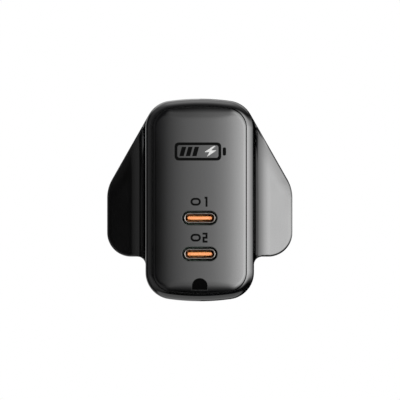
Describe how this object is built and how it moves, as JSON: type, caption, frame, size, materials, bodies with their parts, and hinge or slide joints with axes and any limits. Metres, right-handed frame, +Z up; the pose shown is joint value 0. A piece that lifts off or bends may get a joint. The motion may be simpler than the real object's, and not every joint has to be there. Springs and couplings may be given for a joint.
{
  "type": "usb wall charger",
  "caption": "Plug-in mains charger with two stacked USB-C ports, a fixed three-pin plug and winged base, with its boards and parts inside.",
  "frame": {"origin": "on the flat rear face that meets the wall socket, level with the middle of the case", "axes": "+Y out of the rear face towards the wall along the pins, the ports face -Y, +Z up with the earth pin on top, +X to the right seen from the front"},
  "size_m": [0.05, 0.0647, 0.0546],
  "materials": {
    "gloss_case": "polished black polycarbonate moulding",
    "gloss_panel": "piano black faceplate",
    "inlay": "black resin inlay",
    "satin_cover": "finely spark-textured black moulding",
    "nickel_brass": "nickel-plated brass",
    "sleeve": "black insulating sleeve",
    "carrier": "natural nylon",
    "plated_steel": "zinc-plated screw",
    "spring_copper": "copper alloy strip or enamelled wire",
    "board": "glass-epoxy board with green solder mask",
    "chip_resin": "black moulded resin",
    "port_shell": "dark-plated drawn steel",
    "port_insert": "dark moulded resin",
    "orange_tongue": "orange moulded resin",
    "gold_contacts": "gold-plated contacts",
    "ferrite": "ground ferrite",
    "yellow_tape": "yellow insulating tape over the winding",
    "fuse_body": "brown coated fuse",
    "green_coating": "green epoxy coating",
    "blue_coating": "blue epoxy coating",
    "yellow_box": "yellow film capacitor box",
    "can_sleeve": "black shrink sleeve on an aluminium can",
    "bare_can": "bare aluminium can",
    "soft_pad": "silicone thermal pad",
    "clear_sheet": "milky insulating film",
    "spreader_plate": "plain aluminium sheet"
  },
  "bodies": {
    "root": {"main_shell": "gloss_case", "front_panel": "gloss_panel", "lower_inlay": "inlay", "rear_cover": "satin_cover", "live_pin": "nickel_brass", "neutral_pin": "nickel_brass", "earth_pin": "nickel_brass", "live_sleeve": "sleeve", "neutral_sleeve": "sleeve", "pin_carrier": "carrier", "carrier_screw_left": "plated_steel", "carrier_screw_right": "plated_steel", "live_contact_spring": "spring_copper", "neutral_contact_spring": "spring_copper", "main_board": "board", "port_board": "board", "board_link": "chip_resin", "usb_shell_upper": "port_shell", "usb_shell_lower": "port_shell", "usb_insert_upper": "port_insert", "usb_insert_lower": "port_insert", "usb_tongue_upper": "orange_tongue", "usb_tongue_lower": "orange_tongue", "usb_contacts_upper": "gold_contacts", "usb_contacts_lower": "gold_contacts", "transformer_core_left": "ferrite", "transformer_core_right": "ferrite", "transformer_bobbin": "chip_resin", "transformer_winding": "yellow_tape", "choke_core": "ferrite", "choke_winding_left": "spring_copper", "choke_winding_right": "spring_copper", "input_fuse": "fuse_body", "surge_thermistor": "green_coating", "class_y_capacitor": "blue_coating", "class_x_capacitor": "yellow_box", "bridge_rectifier": "chip_resin", "bulk_capacitor_a": "can_sleeve", "bulk_capacitor_b": "can_sleeve", "bulk_capacitor_c": "can_sleeve", "primary_controller": "chip_resin", "optocoupler": "chip_resin", "synchronous_rectifier": "chip_resin", "output_capacitor_a": "bare_can", "output_capacitor_b": "bare_can", "output_inductor_a": "ferrite", "output_inductor_b": "ferrite", "port_controller": "chip_resin", "thermal_pad": "soft_pad", "insulating_sheet": "clear_sheet", "heat_spreader": "spreader_plate"}
  },
  "joints": []
}
